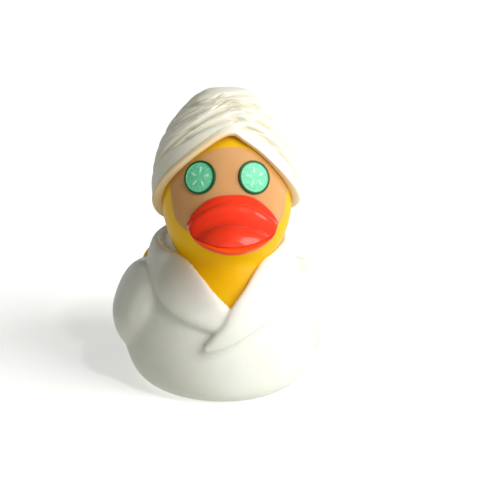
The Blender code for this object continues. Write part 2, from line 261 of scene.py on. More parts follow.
# Lower edge of the turban: angle from the front, height
HEM = (
    (-180.0, 51.0),
    (-130.0, 50.4),
    (-100.0, 52.8),
    (-75.0, 60.6),
    (-57.0, 67.8),
    (-39.0, 73.6),
    (-24.0, 77.8),
    (-8.0, 81.2),
    (4.0, 82.0),
    (13.0, 80.2),
    (25.0, 77.0),
    (41.0, 71.2),
    (57.0, 65.0),
    (75.0, 59.0),
    (105.0, 53.8),
    (140.0, 51.4),
    (180.0, 51.0),
)

# The hem's roll: its height and how far it stands out, then the height over which its edge turns in,
# how far it turns in, how deep it goes on inside, and the share of the towel's rings that are inside
HEM_ROLL = 3.2
HEM_LIFT = 0.7
HEM_EDGE = 1.1
HEM_INSET = 1.0
HEM_DEEP = 5.0
HEM_TURNED_IN = 0.03

# Smooth band above the hem: its height, how much higher it is where the last wrap crosses the brow, the
# angles over which it rises to that and sinks again, and half the height over which the folds start
BAND_HEIGHT = 2.0
BAND_RISE = 5.5
BAND_RISES = (-130.0, -100.0)
BAND_SINKS = (-12.0, 14.0)
BAND_EDGE = 1.5

# Soft folds between the creases: how many from foot to top, how far they wander, depth
FOLDS = (
    (7.0, 0.9, 1.0),
    (15.0, 1.3, 0.36),
)

# Foot that the folds are counted from: angle from the front, height
FOLD_FOOT = (
    (-180.0, 51.0),
    (-130.0, 52.5),
    (-100.0, 57.5),
    (-70.0, 65.0),
    (-40.0, 72.5),
    (-15.0, 77.0),
    (10.0, 79.8),
    (30.0, 79.4),
    (50.0, 75.0),
    (70.0, 67.5),
    (100.0, 58.0),
    (140.0, 52.0),
    (180.0, 51.0),
)

# Angle where the folds are lowest, and how far round from there they climb by the towel's whole height
FOLD_LOWEST = 118.0
FOLD_SPAN = 270.0

# How fast the folds' wandering changes round the towel and up it, and then how fast their strength does
WANDER_ROUND = 1.2
WANDER_UP = 2.0
STRENGTH_ROUND = 1.7
STRENGTH_UP = 3.0

# Noise over which the folds come to full strength, the share of a fold that is its steep lower side,
# and the share of the towel's height above which they die out
FOLD_STRENGTH = (-0.5, 0.3)
FOLD_STEEP = 0.14
FOLD_END = 0.93

# Creases of the wrapped towel: first angle, height there, last angle, height there, arch, depth, breadth
CREASES = (
    (-90.0, 66.0, 32.0, 87.5, 9.5, 1.2, 1.3),
    (-62.0, 76.0, 28.0, 85.4, 4.4, 1.1, 1.1),
    (-100.0, 87.0, 85.0, 87.0, 3.8, 1.1, 1.0),
    (-60.0, 91.0, 80.0, 92.0, 1.0, 0.8, 0.8),
    (8.0, 83.6, 78.0, 60.0, 6.8, 1.0, 1.4),
    (22.0, 86.2, 96.0, 61.0, 6.0, 1.0, 1.5),
    (44.0, 88.0, 120.0, 66.0, 4.4, 0.9, 1.6),
    (-120.0, 74.0, -24.0, 89.4, 2.4, 0.9, 1.3),
    (90.0, 62.0, 225.0, 86.0, 2.6, 1.1, 1.7),
    (124.0, 56.0, 262.0, 79.0, 2.6, 1.1, 1.7),
    (165.0, 53.0, 272.0, 68.0, 2.0, 1.0, 1.6),
)

# The share of a crease over which each end fades, and how much steeper its lower side is
CREASE_FADE = 0.18
CREASE_STEEP = 2.2

# The moulder's frame against the part's: the bill's tip is the part's foremost point
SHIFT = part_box("duck")[0].y / MM - LOWER_BILL_TIP.y


# Shapes


def at(stations, key):
    """The row of a table at this key: a smooth curve through the rows beside it."""
    last = len(stations) - 1
    index = 0
    while index < last - 1 and key > stations[index + 1][0]:
        index += 1
    low = stations[index]
    high = stations[index + 1]
    span = high[0] - low[0]
    u = (key - low[0]) / span
    before = stations[max(index - 1, 0)]
    after = stations[min(index + 2, last)]
    row = []
    for column in range(1, len(low)):
        slope_low = (high[column] - before[column]) / (high[0] - before[0]) * span
        slope_high = (after[column] - low[column]) / (after[0] - low[0]) * span
        row.append(
            (2 * u**3 - 3 * u**2 + 1) * low[column]
            + (u**3 - 2 * u**2 + u) * slope_low
            + (3 * u**2 - 2 * u**3) * high[column]
            + (u**3 - u**2) * slope_high
        )
    return row


def ramp(low, high, value):
    """0 below low, 1 above high, and a smooth rise between them."""
    share = max(0.0, min(1.0, (value - low) / (high - low)))
    return share * share * (3 - 2 * share)


def oval(angle, half_width, front, back):
    """A point of a level oval, and its outward direction. The angle is from the front, towards +X."""
    depth = front if math.cos(angle) > 0 else back
    point = Vector((half_width * math.sin(angle), -depth * math.cos(angle), 0.0))
    outward = Vector((math.sin(angle) / half_width, -math.cos(angle) / depth, 0.0))
    return point, outward.normalized()


def body_point(angle, height):
    """A point on the body at this angle and height, and its outward direction."""
    point, outward = oval(angle, *at(BODY, height))
    return point + Vector((0.0, 0.0, height)), outward


def only(piece):
    """Selects this piece alone, and makes it the active one."""
    bpy.ops.object.select_all(action="DESELECT")
    piece.select_set(True)
    bpy.context.view_layer.objects.active = piece


def moulded(name, start, end, form, around, rings):
    """A ball primitive pulled into a closed form. form(angle, along) runs from start to end."""
    bpy.ops.object.select_all(action="DESELECT")
    bpy.ops.mesh.primitive_uv_sphere_add(segments=around, ring_count=rings, radius=1.0)
    piece = bpy.context.object
    piece.name = name
    piece.data.name = name
    for vertex in piece.data.vertices:
        low = math.acos(max(-1.0, min(1.0, -vertex.co.z)))
        ring = round(low / math.pi * rings)
        if ring == 0:
            vertex.co = start
        elif ring == rings:
            vertex.co = end
        else:
            angle = math.atan2(vertex.co.x, -vertex.co.y)
            vertex.co = form(angle, (ring - 1) / (rings - 2))
    face_out(piece)
    return piece


def face_out(piece):
    """Turns every face outwards and shades the piece smooth."""
    only(piece)
    bpy.ops.object.mode_set(mode="EDIT")
    bpy.ops.mesh.select_all(action="SELECT")
    bpy.ops.mesh.normals_make_consistent(inside=False)
    bpy.ops.object.mode_set(mode="OBJECT")
    bpy.ops.object.shade_smooth()


def modified(piece, kind, **settings):
    """Adds a modifier with these settings and applies it."""
    only(piece)
    modifier = piece.modifiers.new(kind.lower(), kind)
    for setting, value in settings.items():
        setattr(modifier, setting, value)
    bpy.ops.object.modifier_apply(modifier=modifier.name)


def fused(name, pieces, grain, smoothing):
    """One skin round several overlapping forms, with the corners between them filled in."""
    bpy.ops.object.select_all(action="DESELECT")
    for piece in pieces:
        piece.select_set(True)
    bpy.context.view_layer.objects.active = pieces[0]
    bpy.ops.object.join()
    piece = pieces[0]
    piece.name = name
    modified(piece, "REMESH", mode="VOXEL", voxel_size=grain, use_smooth_shade=True)
    modified(piece, "SMOOTH", factor=0.5, iterations=smoothing)
    face_out(piece)
    return piece


def body_form():
    """The body under the robe. Its rings lie closer together towards the foot, which curves in."""

    def form(angle, along):
        return body_point(angle, BODY_TOP * along**BODY_CROWDED)[0]

    top = Vector((0, 0, BODY_TOP))
    return moulded("body", Vector((0, 0, 0)), top, form, around=128, rings=64)


def sleeve_form(side):
    """One folded wing in its sleeve. Its upper half leans in to the shoulder."""

    def form(angle, along):
        depth = WING[0][0] + (WING[-1][0] - WING[0][0]) * along
        out, height, thick, tall = at(WING, depth)
        rise = tall * math.sin(angle)
        rise *= WING_DROP[side] if rise < 0 else 1.0
        x = out + thick * math.cos(angle) - WING_LEAN * max(rise, 0.0)
        return Vector((side * x, depth, height + rise))

    mirror = Vector((side, 1, 1))
    return moulded("sleeve", WING_FRONT * mirror, WING_TIP * mirror, form, around=64, rings=72)


def collar_path(side, along):
    """A point of the collar's spine, the way it faces, and its half width there."""
    numbered = [(index, *row) for index, row in enumerate(COLLAR[side])]
    degrees, height, half_width, lift, lean = at(numbered, along * (len(numbered) - 1))
    point, outward = body_point(math.radians(side * degrees), height)
    tilt = math.radians(lean)
    facing = outward * math.cos(tilt) + Vector((0.0, 0.0, math.sin(tilt)))
    return point + facing * lift, facing, half_width


def collar_form(side):
    """One half of the shawl collar, a rounded band from the nape over the shoulder to its lapel."""
    step = 1 / COLLAR_RINGS

    def form(angle, along):
        point, facing, half_width = collar_path(side, along)
        behind = collar_path(side, max(along - step, 0.0))[0]
        ahead = collar_path(side, min(along + step, 1.0))[0]
        across = facing.cross(ahead - behind).normalized()
        wide = half_width * math.copysign(abs(math.cos(angle)) ** COLLAR_FLATNESS, math.cos(angle))
        return point + across * wide + facing * COLLAR_THICKNESS * math.sin(angle)

    reach = COLLAR_END / (len(COLLAR[side]) - 1)
    first = collar_path(side, 0.0)[0]
    second = collar_path(side, reach)[0]
    last = collar_path(side, 1.0)[0]
    before = collar_path(side, 1.0 - reach)[0]
    start = first * 2 - second
    end = last * 2 - before
    return moulded("collar", start, end, form, around=40, rings=COLLAR_RINGS)


def lapel_height(degrees):
    """Height of the collar's spine above this angle, where either half passes over it."""
    found = -1.0
    for side, stations in COLLAR.items():
        rows = sorted((side * row[0], row[1]) for row in stations)
        for turned in (degrees, degrees + 360.0, degrees - 360.0):
            if rows[0][0] <= turned <= rows[-1][0]:
                found = max(found, at(rows, turned)[0])
    return found


def robe():
    """Body and sleeves fused softly, then the collar fused over them with a tighter corner."""
    body = fused("robe", [body_form(), sleeve_form(-1), sleeve_form(1)], grain=0.6, smoothing=24)
    piece = fused("robe", [body, collar_form(-1), collar_form(1)], grain=0.47, smoothing=4)
    bpy.ops.object.select_all(action="DESELECT")
    bpy.ops.mesh.primitive_cylinder_add(vertices=48, radius=VENT_RADIUS, depth=2 * VENT_DEPTH)
    cutter = bpy.context.object
    modified(piece, "BOOLEAN", object=cutter, operation="DIFFERENCE", solver="EXACT")
    bpy.data.objects.remove(cutter)
    return piece


def neck_form():
    """Chest and neck inside the robe. They show only above the collar, and sink in below it."""

    def form(angle, along):
        height = NECK_FOOT + (BODY_TOP - NECK_FOOT) * along
        point, outward = body_point(angle, height)
        degrees = math.degrees(angle)
        over_collar = ramp(-CHEST_EDGE, CHEST_EDGE, height - lapel_height(degrees))
        shown = over_collar * (1 - ramp(*CHEST_SIDES, abs(degrees)))
        sunk = CHEST_SUNK + (CHEST_PROUD - CHEST_SUNK) * shown
        return point + outward * sunk

    foot = Vector((0, 0, NECK_FOOT))
    top = Vector((0, 0, BODY_TOP))
    return moulded("neck", foot, top, form, around=128, rings=48)


def head_form():
    """The head, a ball drawn out upwards. The towel hides its crown."""

    def form(angle, along):
        rise = math.pi * (HEAD_POLE + (1 - 2 * HEAD_POLE) * along)
        out = math.sin(rise)
        ball = Vector((out * math.sin(angle), -out * math.cos(angle), -math.cos(rise)))
        return HEAD_CENTRE + ball * HEAD_RADII

    up = Vector((0, 0, HEAD_RADII.z))
    return moulded("head", HEAD_CENTRE - up, HEAD_CENTRE + up, form, around=128, rings=80)


def tail():
    """The rump and the tail, broad and flat, turned up to a rounded point."""

    def form(angle, along):
        depth = TAIL[0][0] + (TAIL[-1][0] - TAIL[0][0]) * along
        wide, height, tall = at(TAIL, depth)
        return Vector((wide * math.cos(angle), depth, height + tall * math.sin(angle)))

    return moulded("tail", TAIL_ROOT, TAIL_TIP, form, around=96, rings=72)


def bill_wave(angle, depth):
    """How far the bill's root, groove, ridge, dip and lip raise its top here, in mm."""
    aside = abs(math.cos(angle))
    raised = 0.0
    for place, breadth, middle, sides in BILL_WAVES:
        off = (depth - place) / breadth
        raised += (middle + (sides - middle) * aside) * math.exp(-(off**2))
    return raised


def bill_half(name, stations, corners, root, tip):
    """One half of the bill: sections that come to a soft corner at the sides of the mouth."""

    def form(angle, along):
        depth = stations[0][0] + (stations[-1][0] - stations[0][0]) * along
        backwards = [(-row[0], *row[1:]) for row in stations]
        wide, top, under = at(backwards, -depth)
        corner = under + corners * (top - under)
        rise = abs(math.sin(angle))
        wave = bill_wave(angle, depth) * min(1.0, BILL_FADE * rise)
        height = corner + (top - corner) * rise**BILL_ARCH + wave
        if math.sin(angle) < 0:
            height = corner - (corner - under) * rise**BILL_KEEL
        aside = (depth - root.y) / (tip.y - root.y)
        middle = BILL_MIDDLE + (tip.x - BILL_MIDDLE) * aside**2
        return Vector((middle + wide * math.cos(angle), depth, height))

    return moulded(name, root, tip, form, around=144, rings=120)


def crease(degrees, height):
    """How far the main creases sink the towel here, in mm. Each is steeper on its lower side."""
    sunk = 0.0
    for first, low, final, high, arch, depth, breadth in CREASES:
        for turned in (degrees, degrees + 360.0):
            along = (turned - first) / (final - first)
            if not 0.0 < along < 1.0:
                continue
            line = low + (high - low) * along + 4 * arch * along * (1 - along)
            fade = min(1.0, along / CREASE_FADE, (1 - along) / CREASE_FADE)
            off = (height - line) / breadth
            if off < 0:
                off *= CREASE_STEEP
            sunk += depth * fade * math.exp(-(off**2))
    return sunk


def soft_folds(degrees, height):
    """How far the soft folds between the creases sink the towel, in mm. Each is steep on its lower side."""
    foot = at(FOLD_FOOT, degrees)[0]
    share = (height - foot) / (TURBAN_TOP - foot)
    angle = math.radians(degrees)
    around = Vector((math.cos(angle), math.sin(angle), 0.0))
    turned = min((degrees - FOLD_LOWEST) % 360.0 / FOLD_SPAN, 1.0)
    climb = (turned + ramp(0.0, 1.0, turned)) / 2
    sunk = 0.0
    for count, wander, depth in FOLDS:
        drift = noise.noise(around * WANDER_ROUND + Vector((0.0, count, WANDER_UP * share)))
        patch = noise.noise(around * STRENGTH_ROUND + Vector((count, 0.0, STRENGTH_UP * share)))
        phase = (count * (share - climb) + wander * drift) % 1.0
        pressed = ramp(0.0, FOLD_STEEP, phase) * (1.0 - phase) ** 2
        sunk += depth * ramp(*FOLD_STRENGTH, patch) * pressed
    return sunk


def smooth_band(degrees):
    """Height in mm of the smooth band above the hem. It is broad where the last wrap crosses the brow."""
    return BAND_HEIGHT + BAND_RISE * ramp(*BAND_RISES, degrees) * (1 - ramp(*BAND_SINKS, degrees))


def pressed_in(degrees, hem, above, share):
    """How far creases and folds sink the towel here, in mm. The band above the hem has creases only."""
    band = smooth_band(degrees)
    folded = ramp(band - BAND_EDGE, band + BAND_EDGE, above) * (1 - ramp(FOLD_END, 1.0, share))
    return crease(degrees, hem + above) + folded * soft_folds(degrees, hem + above)


def hem_roll(above):
    """How far the rolled hem stands out at this height above its edge. The edge itself turns in."""
    swelling = HEM_LIFT * math.sin(math.pi * min(above / HEM_ROLL, 1.0))
    return swelling - HEM_INSET * (1 - min(above / HEM_EDGE, 1.0)) ** 2


def turban():
    """The wrapped towel, from its rolled hem up to the top. The hem is lowest at the nape."""

    def form(angle, along):
        degrees = math.degrees(angle)
        hem = at(HEM, degrees)[0]
        up = (along - HEM_TURNED_IN) / (1 - HEM_TURNED_IN)
        if up < 0:
            above = 0.0
            inside = up * (1 - HEM_TURNED_IN) / HEM_TURNED_IN
            swell = -HEM_INSET + (HEM_DEEP - HEM_INSET) * inside
        else:
            above = (TURBAN_TOP - hem) * up**TURBAN_CROWDED
            share = above / (TURBAN_TOP - hem)
            swell = hem_roll(above) - pressed_in(degrees, hem, above, share)
        height = hem + above
        point, outward = oval(angle, *at(TURBAN, height - TURBAN_TOP))
        return TURBAN_AXIS + Vector((0.0, 0.0, height)) + point + outward * swell

    return moulded("turban", TURBAN_INSIDE, TURBAN_PEAK, form, around=480, rings=176)


def slice_place(side):
    """Where a slice lies on the face: its middle, with Z straight out of the face and Y up it."""
    across = (SLICE_MIDDLE + side * SLICE_SPREAD) / HEAD_RADII.x
    up = (SLICE_HEIGHT - HEAD_CENTRE.z) / HEAD_RADII.z
    ahead = -math.sqrt(1 - across**2 - up**2)
    place = HEAD_CENTRE + Vector((across, ahead, up)) * HEAD_RADII
    outward = Vector((across / HEAD_RADII.x, ahead / HEAD_RADII.y, up / HEAD_RADII.z)).normalized()
    return Matrix.Translation(place) @ outward.to_track_quat("Z", "Y").to_matrix().to_4x4()


def lay(piece, side):
    """Bends a flat piece to the curve of the head, and lays it where the slice is."""
    for vertex in piece.data.vertices:
        vertex.co.z -= vertex.co.to_2d().length_squared / (2 * HEAD_CURVE)
    piece.data.transform(slice_place(side))


def cucumber_slice(name, side):
    """A disc with a rounded rim of peel round sunken flesh, laid on the face."""
    bpy.ops.object.select_all(action="DESELECT")
    bpy.ops.mesh.primitive_cylinder_add(vertices=96, radius=SLICE_RADIUS, depth=2 * SLICE_RAISED)
    piece = bpy.context.object
    piece.name = name
    piece.data.name = name
    bpy.ops.object.mode_set(mode="EDIT")
    bpy.ops.mesh.select_all(action="DESELECT")
    bpy.ops.object.mode_set(mode="OBJECT")
    for face in piece.data.polygons:
        face.select = face.normal.z > UPWARDS
    bpy.ops.object.mode_set(mode="EDIT")
    bpy.ops.mesh.inset(thickness=SLICE_RIM)
    bpy.ops.mesh.inset(thickness=SLICE_RECESS, depth=-SLICE_RECESS)
    for _ in range(FLESH_RINGS):
        bpy.ops.mesh.inset(thickness=SLICE_RADIUS / (FLESH_RINGS + 2))
    bpy.ops.object.mode_set(mode="OBJECT")
    modified(piece, "BEVEL", width=SLICE_BEVEL, segments=3, limit_method="ANGLE", angle_limit=SLICE_CORNER)
    noted = piece.data.attributes.new("from_middle", "FLOAT", "POINT")
    for vertex in piece.data.vertices:
        noted.data[vertex.index].value = vertex.co.to_2d().length / SLICE_RADIUS
    lay(piece, side)
    only(piece)
    bpy.ops.object.shade_smooth_by_angle(angle=SLICE_SMOOTH)
    return piece


def seeds(name, side):
    """The raised seeds in a star on a slice, one of them pointing up."""
    made = []
    for number in range(SEEDS):
        turn = 2 * math.pi * number / SEEDS
        bpy.ops.object.select_all(action="DESELECT")
        bpy.ops.mesh.primitive_uv_sphere_add(segments=24, ring_count=16, radius=1.0)
        seed = bpy.context.object
        for vertex in seed.data.vertices:
            narrow = 1 + SEED_TAPER * vertex.co.y
            vertex.co = Vector((vertex.co.x * narrow, vertex.co.y, vertex.co.z)) * SEED_RADII
            vertex.co += Vector((0.0, SEED_OUT, SLICE_RAISED - SLICE_RECESS))
        seed.data.transform(Matrix.Rotation(-turn, 4, "Z"))
        made.append(seed)
    for seed in made:
        seed.select_set(True)
    bpy.context.view_layer.objects.active = made[0]
    bpy.ops.object.join()
    piece = made[0]
    piece.name = name
    piece.data.name = name
    lay(piece, side)
    face_out(piece)
    return piece


def note_distance(piece, other, name):
    """Writes how far each point of the piece is from the other piece, in mm, for its paint to read."""
    points = [vertex.co for vertex in other.data.vertices]
    faces = [face.vertices for face in other.data.polygons]
    tree = BVHTree.FromPolygons(points, faces)
    noted = piece.data.attributes.new(name, "FLOAT", "POINT")
    for vertex in piece.data.vertices:
        noted.data[vertex.index].value = tree.find_nearest(vertex.co)[3]


# The warm light painted above the hem, as if bounced from the yellow skin, is narrower at the duck's left:
# how much faster the height above the hem counts there, and the angles over which that changes
HEM_LIGHT_FASTER = 3
HEM_LIGHT_TURNS = (-20.0, 20.0)


def note_folds(piece):
    """Writes how far each point of the towel is above its hem, as the painted warm light counts it, and how
    far it is pressed in, both in mm."""
    risen = piece.data.attributes.new("above_hem", "FLOAT", "POINT")
    sunken = piece.data.attributes.new("pressed_in", "FLOAT", "POINT")
    for vertex in piece.data.vertices:
        away = vertex.co - TURBAN_AXIS
        wide, front, back = at(TURBAN, min(away.z, TURBAN_TOP) - TURBAN_TOP)
        depth = front if away.y < 0 else back
        degrees = math.degrees(math.atan2(away.x / wide, -away.y / depth))
        hem = at(HEM, degrees)[0]
        above = away.z - hem
        faster = 1 + HEM_LIGHT_FASTER * ramp(*HEM_LIGHT_TURNS, degrees)
        share = above / (TURBAN_TOP - hem)
        risen.data[vertex.index].value = above * faster
        sunken.data[vertex.index].value = pressed_in(degrees, hem, above, share) if above > 0 else 0.0


def note_face(piece):
    """Writes where the tan of the face is sprayed: 1 in its middle, 0 outside, with a soft edge."""
    noted = piece.data.attributes.new("sprayed", "FLOAT", "POINT")
    for vertex in piece.data.vertices:
        x, y, z = vertex.co
        into_corner = max(0.0, min(FACE_CORNER, FACE_FOOT + FACE_CORNER - z))
        rounded = FACE_CORNER - math.sqrt(FACE_CORNER**2 - into_corner**2)
        half_width = FACE_WIDTH + FACE_FLARE * (z - FACE_FOOT) - rounded
        top = FACE_TOP - FACE_BROW * (x - FACE_MIDDLE) ** 2
        inside = min(half_width - abs(x - FACE_MIDDLE), top - z, z - FACE_FOOT)
        front = 1.0 if y < HEAD_CENTRE.y else 0.0
        noted.data[vertex.index].value = ramp(-FACE_SOFT, FACE_SOFT, inside) * front


# Materials

# Places of a Mix node's sockets when it mixes colours
FACTOR = 0
FIRST = 6
SECOND = 7
MIXED = 2

# Most of a noise's values lie between these two
NOISE_SPAN = {"From Min": 0.3, "From Max": 0.7}


def colour(code):
    """A linear colour from an sRGB hex value."""
    shares = [int(code[place : place + 2], 16) / 255 for place in (1, 3, 5)]
    linear = [share / 12.92 if share <= 0.04045 else ((share + 0.055) / 1.055) ** 2.4 for share in shares]
    return (*linear, 1.0)


def node(material, kind, inputs, **settings):
    """Adds a shader node. Each input takes a value, or the socket that it is linked from."""
    made = material.node_tree.nodes.new(kind)
    for setting, value in settings.items():
        setattr(made, setting, value)
    for place, value in inputs.items():
        if isinstance(value, bpy.types.NodeSocket):
            material.node_tree.links.new(value, made.inputs[place])
        else:
            made.inputs[place].default_value = value
    return made


def finish_of(name, **surface):
    """A material with these settings on its shader, and its texture coordinates on the object in mm."""
    material = bpy.data.materials.new(name)
    material.use_nodes = True
    shader = material.node_tree.nodes["Principled BSDF"]
    for place, value in surface.items():
        shader.inputs[place.replace("_", " ")].default_value = value
    where = node(material, "ShaderNodeTexCoord", {}).outputs["Object"]
    scale = (1 / MM, 1 / MM, 1 / MM)
    in_mm = node(material, "ShaderNodeMapping", {"Vector": where, "Scale": scale})
    return material, shader, in_mm.outputs["Vector"]


def surface_of(material, shader, paint, gloss, relief, depth):
    """Links what the nodes work out to the shader: the paint, how dull it is, and its relief in mm."""
    bump = node(material, "ShaderNodeBump", {"Height": relief, "Distance": depth * MM})
    material.node_tree.links.new(paint, shader.inputs["Base Color"])
    material.node_tree.links.new(gloss, shader.inputs["Roughness"])
    material.node_tree.links.new(bump.outputs["Normal"], shader.inputs["Normal"])


# Widths in mm of the patches where the white coat lies thicker or thinner, and of its orange peel
COAT_PATCH = 9.0
COAT_PEEL = 1.6

# Distances from the yellow skin, in mm, between which the white spray comes to cover, how ragged that
# edge is, and the width of its notches
SPRAY_EDGE = (0.22, 0.5)
SPRAY_RAGGED = 0.2
SPRAY_NOTCH = 0.9

# Height above the hem, in mm, up to which a warm light is painted on the towel, as if bounced from the
# yellow skin
HEM_PAINTED_LIGHT = (0.8, 4.6)

# How far a crease is pressed in, in mm, where its painted shade starts and where it is deepest
CREASE_SHADE = (0.35, 1.5)


def white_paint(name, thin, full, hem):
    """Satin acrylic, sprayed on vinyl: an even white that thins to a warm line at the spray's edge. With
    hem, a warm light is painted above the towel's hem and shade is painted in its creases.
    """
    material, shader, where = finish_of(
        name,
        IOR=1.49,
        Specular_IOR_Level=0.3,
        Subsurface_Weight=0.25,
        Subsurface_Radius=(1.0, 0.8, 0.45),
        Subsurface_Scale=2.0 * MM,
    )
    coat = node(material, "ShaderNodeTexNoise", {"Vector": where, "Scale": 1 / COAT_PATCH, "Detail": 3.0})
    thick = {FACTOR: coat.outputs["Fac"], FIRST: colour(thin), SECOND: colour(full)}
    paint = node(material, "ShaderNodeMix", thick, data_type="RGBA").outputs[MIXED]
    if hem:
        # Painted light: a warm tint near the hem stands in for light bounced up from the yellow skin
        above = node(material, "ShaderNodeAttribute", {}, attribute_name="above_hem").outputs["Fac"]
        low, high = HEM_PAINTED_LIGHT
        lit = {"Value": above, "From Min": low, "From Max": high, "To Min": 1.0, "To Max": 0.0}
        glow = node(material, "ShaderNodeMapRange", lit, interpolation_type="SMOOTHSTEP").outputs["Result"]
        warm = {FACTOR: glow, FIRST: paint, SECOND: colour("#f9dcae")}
        paint = node(material, "ShaderNodeMix", warm, data_type="RGBA").outputs[MIXED]
        pressed = node(material, "ShaderNodeAttribute", {}, attribute_name="pressed_in").outputs["Fac"]
        low, high = CREASE_SHADE
        sunk = {"Value": pressed, "From Min": low, "From Max": high, "To Min": 0.0, "To Max": 0.6}
        shade = node(material, "ShaderNodeMapRange", sunk, interpolation_type="SMOOTHSTEP").outputs["Result"]
        # Painted shade: the towel darkens to grey-beige where its creases are pressed in
        crease_shaded = {FACTOR: shade, FIRST: paint, SECOND: colour("#cfc8ae")}
        paint = node(material, "ShaderNodeMix", crease_shaded, data_type="RGBA").outputs[MIXED]
    grain = node(material, "ShaderNodeTexNoise", {"Vector": where, "Scale": 1 / SPRAY_NOTCH, "Detail": 2.0})
    away = node(material, "ShaderNodeAttribute", {}, attribute_name="to_skin").outputs["Fac"]
    ragged = {0: grain.outputs["Fac"], 1: SPRAY_RAGGED, 2: away}
    gap = node(material, "ShaderNodeMath", ragged, operation="MULTIPLY_ADD").outputs[0]
    first, last = SPRAY_EDGE
    thins = {"Value": gap, "From Min": first, "From Max": last, "To Min": 1.0, "To Max": 0.0}
    edge = node(material, "ShaderNodeMapRange", thins, interpolation_type="SMOOTHSTEP").outputs["Result"]
    line = {FACTOR: edge, FIRST: paint, SECOND: colour("#e0a91c")}
    paint = node(material, "ShaderNodeMix", line, data_type="RGBA").outputs[MIXED]
    peel = node(material, "ShaderNodeTexNoise", {"Vector": where, "Scale": 1 / COAT_PEEL, "Detail": 3.0})
    dulls = {"Value": coat.outputs["Fac"], **NOISE_SPAN, "To Min": 0.5, "To Max": 0.4}
    gloss = node(material, "ShaderNodeMapRange", dulls).outputs["Result"]
    surface_of(material, shader, paint, gloss, peel.outputs["Fac"], depth=0.05)
    return material


# Widths in mm of the vinyl's colour streaks, the tan spray's droplets and the mould's texture
VINYL_STREAK = 12.0
SPRAY_DROPLET = 0.35
MOULD_TEXTURE = 2.2

# How much the droplets break up the tan's soft edge, and the values over which it comes to cover the
# yellow
DROPLET_BREAK = 0.5
TAN_COVERS = (0.5, 1.0)

# Distance in mm under the towel's edge over which shade is painted on the vinyl
TOWEL_SHADE = 3.0


def yellow_vinyl():
    """Soft PVC coloured right through, with tan sprayed on the face. Subsurface scattering turns the yellow
    orange in its shade, a faint emission paints a glow on the bare yellow, and shade is painted under the
    towel's edge."""
    material, shader, where = finish_of(
        "yellow_pvc_vinyl",
        IOR=1.53,
        Specular_IOR_Level=0.12,
        Subsurface_Weight=0.6,
        Subsurface_Radius=(1.0, 0.5, 0.08),
        Subsurface_Scale=4.0 * MM,
        # The emission is a painted glow on the bare yellow, not a lamp
        Emission_Strength=0.22,
    )
    swirls = {"Vector": where, "Scale": 1 / VINYL_STREAK, "Detail": 2.0}
    streak = node(material, "ShaderNodeTexNoise", swirls)
    yellows = {FACTOR: streak.outputs["Fac"], FIRST: colour("#deb006"), SECOND: colour("#e6bd08")}
    vinyl = node(material, "ShaderNodeMix", yellows, data_type="RGBA").outputs[MIXED]
    tans = {FACTOR: streak.outputs["Fac"], FIRST: colour("#d49c64"), SECOND: colour("#dfac78")}
    tan = node(material, "ShaderNodeMix", tans, data_type="RGBA").outputs[MIXED]
    speckle = {"Vector": where, "Scale": 1 / SPRAY_DROPLET, "Detail": 2.0}
    drops = node(material, "ShaderNodeTexNoise", speckle)
    sprayed = node(material, "ShaderNodeAttribute", {}, attribute_name="sprayed").outputs["Fac"]
    dotted = {0: drops.outputs["Fac"], 1: DROPLET_BREAK, 2: sprayed}
    share = node(material, "ShaderNodeMath", dotted, operation="MULTIPLY_ADD").outputs[0]
    low, high = TAN_COVERS
    spread = {"Value": share, "From Min": low, "From Max": high}
    covered = node(material, "ShaderNodeMapRange", spread, interpolation_type="SMOOTHSTEP").outputs["Result"]
    face = {FACTOR: covered, FIRST: vinyl, SECOND: tan}
    faced = node(material, "ShaderNodeMix", face, data_type="RGBA").outputs[MIXED]
    # Painted shade: the yellow darkens to deep orange under the towel's edge
    away = node(material, "ShaderNodeAttribute", {}, attribute_name="to_towel").outputs["Fac"]
    near = {"Value": away, "From Min": 0.0, "From Max": TOWEL_SHADE, "To Min": 0.7, "To Max": 0.0}
    painted_towel_shade = node(material, "ShaderNodeMapRange", near, interpolation_type="SMOOTHSTEP").outputs["Result"]
    under = {FACTOR: painted_towel_shade, FIRST: faced, SECOND: colour("#b47808")}
    shown = node(material, "ShaderNodeMix", under, data_type="RGBA").outputs[MIXED]
    # Painted light: the orange glow is left off where the tan covers and where shade is painted under the
    # towel
    glow_cut = node(material, "ShaderNodeMath", {0: covered, 1: painted_towel_shade}, operation="MAXIMUM").outputs[0]
    through = {FACTOR: glow_cut, FIRST: colour("#bc8600"), SECOND: colour("#000000")}
    glow = node(material, "ShaderNodeMix", through, data_type="RGBA").outputs[MIXED]
    material.node_tree.links.new(glow, shader.inputs["Emission Color"])
    cast = {"Vector": where, "Scale": 1 / MOULD_TEXTURE, "Detail": 3.0}
    mould = node(material, "ShaderNodeTexNoise", cast)
    dulls = {"Value": streak.outputs["Fac"], **NOISE_SPAN, "To Min": 0.42, "To Max": 0.5}
    gloss = node(material, "ShaderNodeMapRange", dulls).outputs["Result"]
    surface_of(material, shader, shown, gloss, mould.outputs["Fac"], depth=0.03)
    return material


# Widths in mm of the enamel's deeper and paler patches, and of its slow ripple
ENAMEL_PATCH = 8.0
ENAMEL_RIPPLE = 3.0


